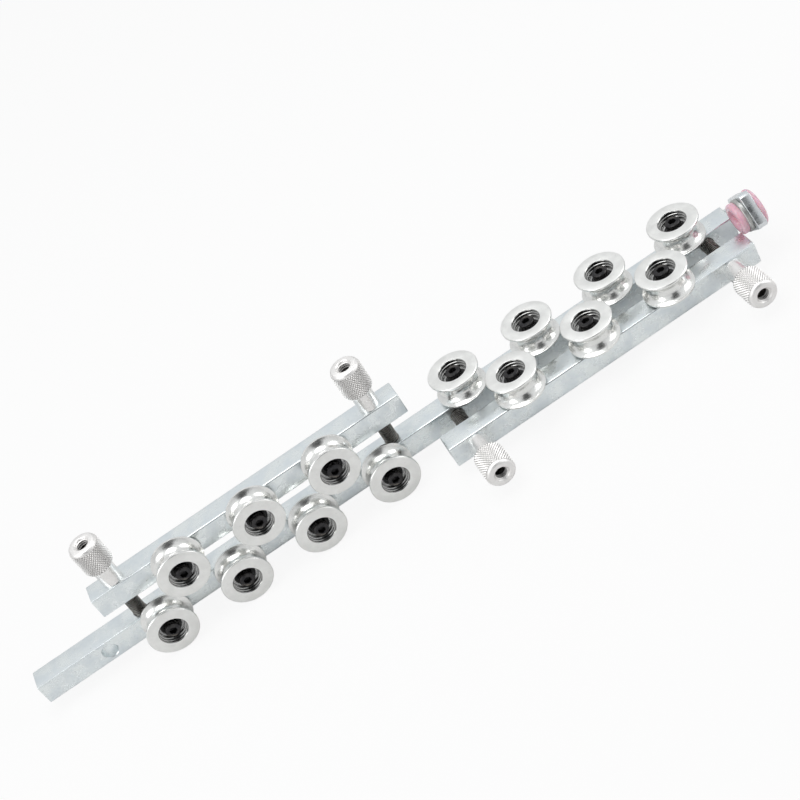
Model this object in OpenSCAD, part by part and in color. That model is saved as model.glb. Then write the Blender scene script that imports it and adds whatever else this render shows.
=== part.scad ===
// Two-plane wire straightener, built on one square bar.
// Frame: millimetres. The origin is the centre of the tail hole, on the bar's
// own axis. +X runs along the bar towards the ceramic eyelet. The exit stage
// has its roller axes along -Y and its moving bar above (+Z). The entry stage
// has its roller axes along +Z and its moving bar in front (-Y).

/* [Bars] */
// Side of the three square bars
bar_w = 10; // [9:0.5:12]
// Bevel along the long edges of the bars
bar_bevel = 0.5; // [0.2:0.1:1.2]
// Tail end of the fixed bar, measured from the tail hole
tail_end = 31.5; // [15:0.5:60]
// Tail hole to the axis of the first fixed roller
tail_reach = 26.5; // [20:0.5:60]
// Diameter of the tail hole, for an M6 bolt
tail_hole_d = 6.6; // [5.5:0.1:7]
// Last fixed roller to the nose end of the fixed bar
nose_reach = 21.5; // [15:0.5:40]
// Gap between the ends of the two moving bars
slide_gap = 4.2; // [2:0.1:20]

/* [Rollers] */
// Distance between neighbouring rollers of a row
pitch = 35; // [32:0.5:45]
// Distance between the fixed row and the moving row, as set in the photograph
rows = 20.6; // [18.6:0.1:25.6]
// Outside diameter of the roller flanges
roller_d = 21.5; // [20:0.5:26]
// Diameter at the bottom of the groove
root_d = 15.2; // [14:0.2:16.4]
// Width of a roller over both flanges
roller_w = 10.6; // [10:0.2:13]
// Width of each flange rim
rim_w = 1; // [0.7:0.1:1.6]
// Bevel on the outer edges of the rims
rim_bevel = 0.3; // [0.1:0.05:0.5]
// Diameter of the recess over the bearing
recess_d = 11.7; // [11.2:0.1:13]
// Gap between a roller and the bar that carries it
roller_gap = 1; // [0.8:0.1:2]

/* [Bearings] */
// Bearing bore, equal to the roller screw's nominal size
brg_bore_d = 4; // [4:0.5:5]
// Bearing outside diameter
brg_od = 11; // [11:0.1:11]
// Bearing width
brg_w = 4; // [3.5:0.1:4.4]
// Radial wall of the inner ring
brg_inner_wall = 0.95; // [0.7:0.05:1.1]
// Radial wall of the outer ring
brg_outer_wall = 0.8; // [0.6:0.05:0.9]
// Running clearance between the seals and the inner ring
seal_play = 0.07; // [0.04:0.01:0.1]
// Balls in each bearing
ball_n = 7; // [6:1:8]

/* [Roller screws] */
// Head diameter of the cap screws
head_d = 7; // [6.5:0.1:7.5]
// Head height of the cap screws
head_h = 4; // [3:0.1:4]
// Size of the hexagon socket across its flats
hex_af = 3; // [2.5:0.1:3.5]
// Length of the screws under the head
screw_len = 16; // [12:0.5:17]
// How far the heads lie below the roller's face
head_sink = 0.2; // [0:0.1:0.6]

/* [Studs] */
// Nominal diameter of the adjusting studs
stud_d = 6; // [5:0.5:6]
// Length of the studs
stud_len = 45; // [42:0.5:48]
// Stud axis to the nearest fixed roller's axis, along the bar
stud_out = 7.75; // [7:0.25:12]
// Stud axis to the end of the moving bar
slide_margin = 11.4; // [8:0.1:20]
// Diameter clearance of the studs in the moving bars
slide_play = 0.6; // [0.3:0.1:1]
// Lead of the stud thread for one turn
thread_lead = 1; // [0.75:0.25:1]

/* [Knobs] */
// Diameter of the knurled head
knob_d = 13; // [11:0.5:16]
// Diameter of the smooth shoulder
shoulder_d = 8.8; // [8:0.1:10]
// Length of the smooth shoulder
shoulder_len = 9; // [6:0.5:12]
// Length of the knurled head
knob_len = 13.7; // [10:0.1:16]
// Bevel at both ends of the knurled head
knob_bevel = 1.2; // [0.5:0.1:1.4]
// Diameter of the hole at the knob's outer end
knob_hole_d = 5.8; // [5:0.1:6]
// Diamonds around the knurl
knurl_n = 26; // [16:1:32]
// Depth of the knurl
knurl_h = 0.35; // [0.2:0.05:0.5]
// Radial running clearance of the knob on its stud
knob_play = 0.07; // [0.04:0.01:0.1]

/* [Eyelet] */
// Eyelet axis in front of the pass line
eye_front = 1; // [0:0.1:2]
// Eyelet axis below the pass line
eye_drop = 2.5; // [0:0.1:3]
// Smallest bore of the ceramic
eye_bore_d = 7; // [6:0.1:8]
// Diameter of the ceramic barrel in the bracket
eye_barrel_d = 10; // [9.4:0.1:11]
// Outside diameter of the bell that faces the rollers
bell_d = 13.6; // [12:0.2:15]
// Mouth diameter of both flared ends
mouth_d = 11.2; // [9:0.2:11.6]
// Length of the bell in front of its collar
bell_len = 2.8; // [2.4:0.1:3.2]
// Outside diameter of the outer flange
flange_d = 16.4; // [14:0.2:18]
// Thickness of the outer flange
flange_t = 2.5; // [2:0.1:3.5]
// Diameter of the metal collar between the bell and the bracket
collar_d = 14.6; // [13.6:0.2:16]
// Thickness of the collar
collar_t = 1.9; // [1.4:0.1:2.2]
// Width of the bracket around the eyelet
bracket_w = 15.6; // [14.6:0.2:18]
// Thickness of the bracket
bracket_t = 4.3; // [3:0.1:5]
// Cut at the bracket's outer corners
bracket_cut = 1.5; // [0.5:0.1:2.5]
// Height of the foot between the bar's end and the bracket
foot_t = 2.7; // [2.4:0.1:4]

/* [Hidden] */
$fn = 64;
e = 0.01;
fit = 0.03;                                   // wall clearance of fixed screws and studs
half = bar_w / 2;
stud_x = 1.5 * pitch + stud_out;
slide_len = 2 * (stud_x + slide_margin);
x_exit = tail_reach + 1.5 * pitch;            // centre of the exit stage
x_entry = x_exit + slide_len + slide_gap;     // centre of the entry stage
bar_x0 = -tail_end;
bar_x1 = x_entry + 1.5 * pitch + nose_reach;
roller_z = half + roller_gap;                 // lower face of the rollers
pass = roller_z + roller_w / 2;               // pass line, from the bar's axis
head_z = roller_z + roller_w - head_sink - head_h;   // under the screw heads
brg_z = head_z - brg_w;                       // lower face of the bearings
screw_r = brg_bore_d / 2 - fit;
inner_r = brg_bore_d / 2 + brg_inner_wall;
race_r = brg_od / 2 - brg_outer_wall;
ball_r = (race_r - inner_r) / 2 - 0.075;
stud_hole_r = (stud_d + slide_play) / 2;
knob_y = rows + half;
knob_total = shoulder_len + knob_len;
eye_y = -(pass + eye_front);
eye_z = pass - eye_drop;
bracket_x = bar_x1 + foot_t;
collar_x = bracket_x - collar_t;
flange_x = bracket_x + bracket_t;
groove_h = (roller_d - root_d) / 2;           // depth of the round groove
groove_r = (pow(roller_w / 2 - rim_w, 2) + pow(groove_h, 2)) / (2 * groove_h);

echo(overall_length = bar_x1 - bar_x0, slide_length = slide_len, pass_line = pass,
     lane_at_rest = rows - root_d, nose = bar_x1);

// ---------- places ----------
// Local frame of a stage: x along the bar, y from the fixed row to the moving
// row, z along the roller axes. The two stages are a half turn apart.
module exit_stage() { translate([x_exit, 0, 0]) rotate([90, 0, 0]) children(); }
module entry_stage() { translate([x_entry, 0, 0]) rotate([0, 0, 180]) children(); }
function fixed_x(i) = (i - 2.5) * pitch;      // i = 1..4
function slide_x(i) = (i - 2) * pitch;        // i = 1..3
module at_fixed_rollers() { for (i = [1:4]) translate([fixed_x(i), 0, 0]) children(); }
module at_slide_rollers() { for (i = [1:3]) translate([slide_x(i), rows, 0]) children(); }
module at_both_fixed() { exit_stage() at_fixed_rollers() children(); entry_stage() at_fixed_rollers() children(); }
module at_studs() { for (s = [-1, 1]) translate([s * stud_x, 0, 0]) children(); }

// ---------- forms ----------
module square_bar(len) {
  b = bar_bevel;
  rotate([90, 0, 90]) linear_extrude(len)
    polygon([[-half + b, -half], [half - b, -half], [half, -half + b], [half, half - b],
             [half - b, half], [-half + b, half], [-half, half - b], [-half, -half + b]]);
}
module hex(af, h) { cylinder(d = af / cos(30), h = h, $fn = 6); }

// Spool with a round groove, a bearing seat, a shoulder under it and a recess above it.
module roller() {
  r = roller_d / 2;
  seat = brg_z - roller_z;
  top = seat + brg_w;
  translate([0, 0, roller_z]) rotate_extrude() difference() {
    polygon([[race_r + 0.1, 0], [r - rim_bevel, 0], [r, rim_bevel], [r, roller_w - rim_bevel], [r - rim_bevel, roller_w],
             [recess_d / 2 + 0.35, roller_w], [recess_d / 2, roller_w - 0.35], [recess_d / 2, top],
             [brg_od / 2, top], [brg_od / 2, seat], [race_r + 0.1, seat]]);
    translate([root_d / 2 + groove_r, roller_w / 2]) circle(r = groove_r);
  }
}
// Outer ring with its two seals, which turn with the roller.
module bearing_outer() {
  s0 = inner_r + seal_play;
  translate([0, 0, brg_z]) rotate_extrude()
    polygon([[brg_od / 2 - 0.2, 0], [brg_od / 2, 0.2], [brg_od / 2, brg_w - 0.2], [brg_od / 2 - 0.2, brg_w],
             [race_r, brg_w], [race_r, brg_w - 0.25], [s0, brg_w - 0.25], [s0, brg_w - 0.6], [race_r, brg_w - 0.6],
             [race_r, 0.6], [s0, 0.6], [s0, 0.25], [race_r, 0.25], [race_r, 0]]);
}
module bearing_inner() {
  translate([0, 0, brg_z]) difference() {
    cylinder(r = inner_r, h = brg_w);
    translate([0, 0, -1]) cylinder(r = brg_bore_d / 2, h = brg_w + 2);
  }
}
module bearing_balls() {
  translate([0, 0, brg_z + brg_w / 2])
    for (i = [0:ball_n - 1]) rotate([0, 0, i * 360 / ball_n]) translate([(inner_r + race_r) / 2, 0, 0]) sphere(r = ball_r, $fn = 24);
}
// Washer and sleeve in one turned piece under the inner ring.
module spacer() {
  translate([0, 0, half]) difference() {
    union() {
      cylinder(r = race_r - 0.3, h = roller_gap - 0.2);
      cylinder(r = inner_r - 0.15, h = brg_z - half);
    }
    translate([0, 0, -1]) cylinder(r = brg_bore_d / 2, h = brg_z - half + 2);
  }
}
module cap_screw() {
  translate([0, 0, head_z]) difference() {
    union() {
      translate([0, 0, -screw_len]) cylinder(r1 = screw_r - 0.5, r2 = screw_r, h = 0.5);
      translate([0, 0, -screw_len + 0.5]) cylinder(r = screw_r, h = screw_len - 0.5 + e);
      cylinder(d = head_d, h = head_h - 0.4);
      translate([0, 0, head_h - 0.4]) cylinder(r1 = head_d / 2, r2 = head_d / 2 - 0.4, h = 0.4);
    }
    translate([0, 0, head_h - 2.2]) hex(hex_af, 3);
  }
}
// Set screw, fixed in the long bar, with its socket at the outer end. Along +y.
module stud() {
  r = stud_d / 2;
  translate([0, -half, 0]) rotate([-90, 0, 0]) difference() {
    union() {
      cylinder(r1 = r - 0.6, r2 = r, h = 0.6);
      translate([0, 0, 0.6]) cylinder(r = r, h = stud_len - 1.2);
      translate([0, 0, stud_len - 0.6]) cylinder(r1 = r, r2 = r - 0.6, h = 0.6);
    }
    translate([0, 0, stud_len - 3]) hex(3, 4);
  }
}
module slide_bar() {
  difference() {
    translate([-slide_len / 2, rows, 0]) square_bar(slide_len);
    at_slide_rollers() translate([0, 0, -half - 1]) cylinder(r = brg_bore_d / 2, h = bar_w + 2);
    at_studs() translate([0, rows - half - 1, 0]) rotate([-90, 0, 0]) cylinder(r = stud_hole_r, h = bar_w + 2);
  }
}
// Male diamond knurl: peaks and valleys alternate over a staggered grid.
module knurl(r, h, len) {
  m = 2 * knurl_n;
  rowsn = 2 * round(len / (2 * PI * r / m) / 2);
  pts = [for (j = [0:rowsn]) for (i = [0:m - 1])
          let (q = (j == 0 || j == rowsn) ? -0.05 : ((i + j) % 2 == 0 ? h : 0), a = i * 360 / m)
          [(r + q) * cos(a), (r + q) * sin(a), j * len / rowsn]];
  faces = concat(
    [[for (i = [0:m - 1]) i]],
    [for (j = [0:rowsn - 1]) for (i = [0:m - 1]) for (t = [0, 1])
      let (a = j * m + i, b = j * m + (i + 1) % m, c = a + m, d = b + m)
      (i + j) % 2 == 0 ? (t == 0 ? [a, c, b] : [b, c, d]) : (t == 0 ? [a, d, b] : [a, c, d])],
    [[for (i = [m - 1:-1:0]) rowsn * m + i]]);
  polyhedron(points = pts, faces = faces);
}
// Knurled nut with a smooth shoulder that seats on the moving bar. Along +y.
module knob(s) {
  core = knob_d / 2 - knurl_h;
  translate([s * stud_x, knob_y, 0]) rotate([-90, 0, 0]) difference() {
    union() {
      rotate_extrude()
        polygon([[0, 0], [shoulder_d / 2 - 0.2, 0], [shoulder_d / 2, 0.2], [shoulder_d / 2, shoulder_len],
                 [core - 0.7, shoulder_len], [core + 0.05, shoulder_len + 0.6],
                 [core + 0.05, knob_total - knob_bevel], [core - 0.25, knob_total - knob_bevel + 0.55],
                 [core + 0.05 - knob_bevel, knob_total], [0, knob_total]]);
      translate([0, 0, shoulder_len + 0.7]) knurl(core, knurl_h, knob_len - 0.8 - knob_bevel);
    }
    translate([0, 0, -1]) cylinder(r = stud_d / 2 + knob_play, h = knob_total - 3.2);
    cylinder(d = knob_hole_d, h = knob_total + 1);
    translate([0, 0, knob_total - 0.7]) cylinder(r1 = knob_hole_d / 2 - e, r2 = knob_hole_d / 2 + 0.75, h = 0.71);
  }
}
// Flared ceramic wall between a throat and a mouth; points run from throat to mouth.
function flare(r0, r1, z0, z1) = [for (a = [0:15:90]) [r0 + (r1 - r0) * (1 - cos(a)), z0 + (z1 - z0) * sin(a)]];
module on_eyelet(x) { translate([x, eye_y, eye_z]) rotate([0, 90, 0]) children(); }

// ---------- pieces ----------
module fixed_bar() color([0.72, 0.74, 0.76]) difference() {
  translate([bar_x0, 0, 0]) square_bar(bar_x1 - bar_x0);
  rotate([90, 0, 0]) translate([0, 0, -half - 1]) cylinder(d = tail_hole_d, h = bar_w + 2);
  at_both_fixed() translate([0, 0, -half - 1]) cylinder(r = brg_bore_d / 2, h = bar_w + 2);
  for (k = [0, 1]) {
    if (k == 0) exit_stage() at_studs() translate([0, -half - 1, 0]) rotate([-90, 0, 0]) cylinder(r = stud_d / 2 + fit, h = bar_w + 2);
    else entry_stage() at_studs() translate([0, -half - 1, 0]) rotate([-90, 0, 0]) cylinder(r = stud_d / 2 + fit, h = bar_w + 2);
  }
  translate([bar_x1 - 9, 0, 0]) rotate([0, 90, 0]) cylinder(r = brg_bore_d / 2, h = 9 + 1);
}
module exit_slide_bar() color([0.72, 0.74, 0.76]) exit_stage() slide_bar();
module entry_slide_bar() color([0.72, 0.74, 0.76]) entry_stage() slide_bar();

module exit_fixed(i) { exit_stage() translate([fixed_x(i), 0, 0]) children(); }
module exit_slide(i) { exit_stage() translate([slide_x(i), rows, 0]) children(); }
module entry_fixed(i) { entry_stage() translate([fixed_x(5 - i), 0, 0]) children(); }
module entry_slide(i) { entry_stage() translate([slide_x(4 - i), rows, 0]) children(); }

steel = [0.8, 0.8, 0.79];
dark = [0.12, 0.12, 0.13];
module exit_fixed_roller_1() color(steel) exit_fixed(1) roller();
module exit_fixed_roller_2() color(steel) exit_fixed(2) roller();
module exit_fixed_roller_3() color(steel) exit_fixed(3) roller();
module exit_fixed_roller_4() color(steel) exit_fixed(4) roller();
module exit_slide_roller_1() color(steel) exit_slide(1) roller();
module exit_slide_roller_2() color(steel) exit_slide(2) roller();
module exit_slide_roller_3() color(steel) exit_slide(3) roller();
module entry_fixed_roller_1() color(steel) entry_fixed(1) roller();
module entry_fixed_roller_2() color(steel) entry_fixed(2) roller();
module entry_fixed_roller_3() color(steel) entry_fixed(3) roller();
module entry_fixed_roller_4() color(steel) entry_fixed(4) roller();
module entry_slide_roller_1() color(steel) entry_slide(1) roller();
module entry_slide_roller_2() color(steel) entry_slide(2) roller();
module entry_slide_roller_3() color(steel) entry_slide(3) roller();
module exit_fixed_bearing_1() color(dark) exit_fixed(1) bearing_outer();
module exit_fixed_bearing_2() color(dark) exit_fixed(2) bearing_outer();
module exit_fixed_bearing_3() color(dark) exit_fixed(3) bearing_outer();
module exit_fixed_bearing_4() color(dark) exit_fixed(4) bearing_outer();
module exit_slide_bearing_1() color(dark) exit_slide(1) bearing_outer();
module exit_slide_bearing_2() color(dark) exit_slide(2) bearing_outer();
module exit_slide_bearing_3() color(dark) exit_slide(3) bearing_outer();
module entry_fixed_bearing_1() color(dark) entry_fixed(1) bearing_outer();
module entry_fixed_bearing_2() color(dark) entry_fixed(2) bearing_outer();
module entry_fixed_bearing_3() color(dark) entry_fixed(3) bearing_outer();
module entry_fixed_bearing_4() color(dark) entry_fixed(4) bearing_outer();
module entry_slide_bearing_1() color(dark) entry_slide(1) bearing_outer();
module entry_slide_bearing_2() color(dark) entry_slide(2) bearing_outer();
module entry_slide_bearing_3() color(dark) entry_slide(3) bearing_outer();

module inner_rings_fixed() color(steel) at_both_fixed() bearing_inner();
module inner_rings_exit_slide() color(steel) exit_stage() at_slide_rollers() bearing_inner();
module inner_rings_entry_slide() color(steel) entry_stage() at_slide_rollers() bearing_inner();
module balls_fixed() color(steel) at_both_fixed() bearing_balls();
module balls_exit_slide() color(steel) exit_stage() at_slide_rollers() bearing_balls();
module balls_entry_slide() color(steel) entry_stage() at_slide_rollers() bearing_balls();
module spacers_fixed() color([0.6, 0.6, 0.6]) at_both_fixed() spacer();
module spacers_exit_slide() color([0.6, 0.6, 0.6]) exit_stage() at_slide_rollers() spacer();
module spacers_entry_slide() color([0.6, 0.6, 0.6]) entry_stage() at_slide_rollers() spacer();
module roller_screws_fixed() color(dark) at_both_fixed() cap_screw();
module roller_screws_exit_slide() color(dark) exit_stage() at_slide_rollers() cap_screw();
module roller_screws_entry_slide() color(dark) entry_stage() at_slide_rollers() cap_screw();
module adjusting_studs() color(dark) { exit_stage() at_studs() stud(); entry_stage() at_studs() stud(); }
module exit_knob_tail() color([0.82, 0.81, 0.79]) exit_stage() knob(-1);
module exit_knob_mid() color([0.82, 0.81, 0.79]) exit_stage() knob(1);
module entry_knob_mid() color([0.82, 0.81, 0.79]) entry_stage() knob(1);
module entry_knob_nose() color([0.82, 0.81, 0.79]) entry_stage() knob(-1);

// Flat bracket on the end of the bar. It slants out to the eyelet and holds it
// off the pass line, with its two outer corners cut.
module eyelet_bracket() color([0.72, 0.74, 0.76]) difference() {
  d = sqrt(eye_y * eye_y + eye_z * eye_z);
  w = bracket_w / 2;
  n = half;
  c = bracket_cut;
  union() {
    translate([bar_x1, 0, 0]) rotate([0, 90, 0]) cylinder(r = n, h = foot_t + bracket_t);
    translate([bracket_x, 0, 0]) rotate([atan2(eye_z, eye_y), 0, 0]) rotate([90, 0, 90]) linear_extrude(bracket_t)
      polygon([[0, -n], [2, -n], [n, -w], [d + w - c, -w], [d + w, -w + c],
               [d + w, w - c], [d + w - c, w], [n, w], [2, n], [0, n]]);
  }
  on_eyelet(bracket_x - 1) cylinder(d = eye_barrel_d + 2 * fit, h = bracket_t + 2);
  translate([bar_x1 - 1, 0, 0]) rotate([0, 90, 0]) cylinder(r = brg_bore_d / 2 + 0.1, h = foot_t + bracket_t + 2);
}
module bracket_screw() color(dark) translate([flange_x, 0, 0]) rotate([0, 90, 0]) difference() {
  grip = foot_t + bracket_t + 7;
  union() {
    translate([0, 0, -grip]) cylinder(r = screw_r, h = grip + e);
    rotate_extrude() polygon([[0, 0], [3.8, 0], [3.8, 0.6], [3.4, 1.4], [2.7, 1.95], [1.9, 2.2], [0, 2.2]]);
  }
  translate([0, 0, 0.9]) hex(2.5, 2);
}
module eyelet_collar() color([0.75, 0.77, 0.79]) on_eyelet(collar_x) rotate_extrude()
  polygon([[eye_barrel_d / 2 + fit, 0], [collar_d / 2 - 0.3, 0], [collar_d / 2, 0.3], [collar_d / 2, collar_t - 0.3],
           [collar_d / 2 - 0.3, collar_t], [eye_barrel_d / 2 + fit, collar_t]]);
// The ceramic is two halves that meet inside the bracket.
module eyelet_bell() color([0.93, 0.72, 0.76]) on_eyelet(collar_x - bell_len) {
  barrel = bell_len + collar_t + bracket_t / 2;
  lip = (bell_d - mouth_d) / 2;
  rotate_extrude() polygon(concat(
    flare(eye_bore_d / 2, mouth_d / 2 - 0.3, bell_len, 0),
    [[mouth_d / 2, 0.1]],
    [for (a = [15:15:90]) [mouth_d / 2 + lip * sin(a), 0.1 + lip * 0.7 * (1 - cos(a))]],
    [[bell_d / 2, bell_len - 0.2], [bell_d / 2 - 0.2, bell_len], [eye_barrel_d / 2, bell_len], [eye_barrel_d / 2, barrel], [eye_bore_d / 2, barrel]]));
}
module eyelet_flange() color([0.93, 0.72, 0.76]) on_eyelet(flange_x) {
  mouth = mouth_d / 2 - 0.3;
  rotate_extrude() polygon(concat(
    [[eye_bore_d / 2, -bracket_t / 2], [eye_barrel_d / 2, -bracket_t / 2], [eye_barrel_d / 2, 0], [flange_d / 2 - 0.2, 0], [flange_d / 2, 0.2]],
    [for (a = [0:15:90]) [mouth_d / 2 + (flange_d - mouth_d) / 2 * cos(a), 0.6 + (flange_t - 0.75) * sin(a)]],
    [[mouth, flange_t]],
    [for (a = [75:-15:0]) [eye_bore_d / 2 + (mouth - eye_bore_d / 2) * (1 - cos(a)), flange_t * sin(a)]]));
}

fixed_bar();
exit_slide_bar();
entry_slide_bar();
exit_fixed_roller_1();
exit_fixed_roller_2();
exit_fixed_roller_3();
exit_fixed_roller_4();
exit_slide_roller_1();
exit_slide_roller_2();
exit_slide_roller_3();
entry_fixed_roller_1();
entry_fixed_roller_2();
entry_fixed_roller_3();
entry_fixed_roller_4();
entry_slide_roller_1();
entry_slide_roller_2();
entry_slide_roller_3();
exit_fixed_bearing_1();
exit_fixed_bearing_2();
exit_fixed_bearing_3();
exit_fixed_bearing_4();
exit_slide_bearing_1();
exit_slide_bearing_2();
exit_slide_bearing_3();
entry_fixed_bearing_1();
entry_fixed_bearing_2();
entry_fixed_bearing_3();
entry_fixed_bearing_4();
entry_slide_bearing_1();
entry_slide_bearing_2();
entry_slide_bearing_3();
inner_rings_fixed();
inner_rings_exit_slide();
inner_rings_entry_slide();
balls_fixed();
balls_exit_slide();
balls_entry_slide();
spacers_fixed();
spacers_exit_slide();
spacers_entry_slide();
roller_screws_fixed();
roller_screws_exit_slide();
roller_screws_entry_slide();
adjusting_studs();
exit_knob_tail();
exit_knob_mid();
entry_knob_mid();
entry_knob_nose();
eyelet_bracket();
bracket_screw();
eyelet_collar();
eyelet_bell();
eyelet_flange();
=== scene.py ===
import math

import bpy
from mathutils import Matrix, Vector


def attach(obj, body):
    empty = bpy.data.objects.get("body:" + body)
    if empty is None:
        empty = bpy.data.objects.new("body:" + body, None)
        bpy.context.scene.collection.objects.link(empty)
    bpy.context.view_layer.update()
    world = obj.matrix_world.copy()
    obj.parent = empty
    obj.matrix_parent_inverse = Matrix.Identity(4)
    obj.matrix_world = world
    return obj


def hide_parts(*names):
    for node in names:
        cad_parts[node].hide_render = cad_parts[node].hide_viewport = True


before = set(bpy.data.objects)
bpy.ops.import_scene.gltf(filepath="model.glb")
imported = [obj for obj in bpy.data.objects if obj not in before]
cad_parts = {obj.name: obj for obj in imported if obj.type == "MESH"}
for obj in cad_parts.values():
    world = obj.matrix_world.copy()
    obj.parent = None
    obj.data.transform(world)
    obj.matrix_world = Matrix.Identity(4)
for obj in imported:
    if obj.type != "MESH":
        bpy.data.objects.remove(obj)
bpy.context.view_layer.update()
mm = 0.001

# Sizes of the straightener, in millimetres, as its construction has them.
PITCH, ROWS, BAR = 35.0, 20.6, 10.0    # roller to roller, row to row, side of the square bars
HALF = BAR / 2
EXIT_X, ENTRY_X = 79.0, 226.5          # middle of the exit stage and of the entry stage
STUD_X, HALF_SLIDE = 60.25, 71.65      # studs and ends of a moving bar, from the middle of its stage
TAIL, NOSE = -31.5, 300.5              # ends of the long bar
PASS, ROLLER_W, ROLLER_R = 11.3, 10.6, 10.75   # middle of a roller from its bar's axis, width and radius
ROOT_R, GROOVE_R = 7.6, 4.51           # bottom of the groove, and the groove's own round
BEARING_Z, BEARING_H = 8.4, 4.0        # lower face and height of a bearing, from its bar's axis
HEAD_Z, SCREW_LEN = 12.4, 16.0         # under a roller screw's head, and its length from there
SCREW_TAP, STUD_TAP, SLIDE_HOLE, TAIL_HOLE = 4.0, 6.06, 6.6, 6.6   # diameters of the bars' holes
STUD_LOW, STUD_HIGH = -5.0, 40.0       # ends of a stud, from the fixed bar's axis
SCREW_ROOT, SCREW_CREST, STUD_ROOT, STUD_CREST = 1.66, 1.95, 2.45, 2.98   # radii of the two threads
SOCKET = 3.0                           # across the flats of the hexagon sockets
KNOB_END, KNURL_LOW = 22.7, 9.7        # a knob's end and the start of its knurl, from its bar's face
BELL_X, COLLAR_X, BRACKET_X, FLANGE_X = 298.5, 301.3, 303.2, 307.5
BELL_LEN, COLLAR_T, BRACKET_T, FLANGE_T = 2.8, 1.9, 4.3, 2.5
EYE_Y, EYE_Z = -12.3, 8.8              # axis of the eyelet
THROAT_R, BARREL_R, EYE_HOLE_R = 3.5, 4.98, 5.03   # the wire's way, the barrel and the hole that it sits in
FOOT_R, FOOT_HOLE_R, FOOT_T = 5.0, 2.1, 2.7        # the bracket's foot on the bar's end
FLOOR_Z = -11.3                        # the table, just under the lowest rollers

# ---------------------------------------------------------------- hand tools


def put_down():
    """Nothing selected, no piece in edit mode."""
    if bpy.context.object and bpy.context.object.mode != "OBJECT":
        bpy.ops.object.mode_set(mode="OBJECT")
    bpy.ops.object.select_all(action="DESELECT")


def pick(*pieces):
    put_down()
    for p in pieces:
        p.select_set(True)
    bpy.context.view_layer.objects.active = pieces[0]


def named(name):
    piece = bpy.context.object
    piece.name = name
    piece.data.name = name
    return piece


def settle():
    """Puts the place, turn and size of the piece into its points, so that its origin is the world's."""
    bpy.ops.object.transform_apply(location=True, rotation=True, scale=True)


def draw_on(x, y, z):
    """Extrudes what is selected, by so many millimetres."""
    bpy.ops.mesh.extrude_region_move(TRANSFORM_OT_translate={"value": (x * mm, y * mm, z * mm)})


def close_up():
    """Turns all faces outward and leaves edit mode."""
    bpy.ops.mesh.select_all(action="SELECT")
    bpy.ops.mesh.normals_make_consistent(inside=False)
    bpy.ops.object.mode_set(mode="OBJECT")


def first_point(name, x, y, z):
    """A piece of one point, in edit mode, from which an outline is drawn."""
    put_down()
    bpy.ops.mesh.primitive_plane_add(size=0.1 * mm, location=(x * mm, y * mm, z * mm))
    piece = named(name)
    settle()
    bpy.ops.object.mode_set(mode="EDIT")
    bpy.ops.mesh.select_mode(type="VERT")
    bpy.ops.mesh.select_all(action="SELECT")
    bpy.ops.mesh.merge(type="CENTER")
    return piece


def select_points(piece, wanted):
    """Selects the wanted points and nothing else, and goes into edit mode."""
    bpy.ops.object.mode_set(mode="EDIT")
    bpy.ops.mesh.select_mode(type="VERT")
    bpy.ops.object.mode_set(mode="OBJECT")
    for part in (*piece.data.polygons, *piece.data.edges):
        part.select = False
    for v in piece.data.vertices:
        v.select = wanted(v)
    bpy.ops.object.mode_set(mode="EDIT")


def select_rims(piece, wanted):
    """Selects the edges whose two points are wanted and nothing else, and goes into edit mode."""
    points = piece.data.vertices
    for v in points:
        v.select = wanted(v)
    for f in piece.data.polygons:
        f.select = False
    for e in piece.data.edges:
        e.select = all(points[i].select for i in e.vertices)
    bpy.ops.object.mode_set(mode="EDIT")
    bpy.ops.mesh.select_mode(type="EDGE")


def finish_with(piece, kind, **settings):
    """Adds one modifier and applies it."""
    pick(piece)
    m = piece.modifiers.new(kind, kind)
    for k, v in settings.items():
        setattr(m, k, v)
    bpy.ops.object.modifier_apply(modifier=m.name)
    return piece


def soften(piece, width, segments=2, angle=35):
    return finish_with(piece, "BEVEL", width=width * mm, segments=segments, limit_method="ANGLE",
                       angle_limit=math.radians(angle), harden_normals=False)


def smooth(piece, angle=35):
    pick(piece)
    bpy.ops.object.shade_smooth_by_angle(angle=math.radians(angle))
    return piece


def weld(piece):
    pick(piece)
    bpy.ops.object.mode_set(mode="EDIT")
    bpy.ops.mesh.select_all(action="SELECT")
    bpy.ops.mesh.remove_doubles(threshold=1e-6)
    close_up()
    return piece


def join(name, *pieces):
    pick(*pieces)
    bpy.ops.object.join()
    return named(name)


def cut(piece, *tools):
    """Takes the tools' shapes out of the piece."""
    for t in tools:
        finish_with(piece, "BOOLEAN", object=t, operation="DIFFERENCE", solver="EXACT")
        bpy.data.objects.remove(t)
    return piece


def turned(name, profile, steps=72):
    """Lathe work about Z: the profile (radius, height) is drawn point by point and spun. A profile that starts and
    ends on the axis makes a solid piece; any other is closed to a ring."""
    piece = first_point(name, profile[0][0], 0, profile[0][1])
    solid = profile[0][0] == 0.0 and profile[-1][0] == 0.0
    for (ra, za), (rb, zb) in zip(profile, profile[1:] + ([] if solid else profile[:1])):
        draw_on(rb - ra, 0, zb - za)
    bpy.ops.mesh.select_all(action="SELECT")
    bpy.ops.mesh.remove_doubles(threshold=1e-6)
    bpy.ops.mesh.select_all(action="SELECT")
    bpy.ops.mesh.spin(steps=steps, angle=2 * math.pi, center=(0, 0, 0), axis=(0, 0, 1))
    bpy.ops.mesh.select_all(action="SELECT")
    bpy.ops.mesh.remove_doubles(threshold=2e-6)
    close_up()
    return piece


def arc(cx, cz, r, a0, a1, n):
    """Points of an arc about (cx, cz), from the angle a0 to a1, in n steps."""
    turns = [math.radians(a0 + (a1 - a0) * i / n) for i in range(n + 1)]
    return [(cx + r * math.cos(a), cz + r * math.sin(a)) for a in turns]


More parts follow.
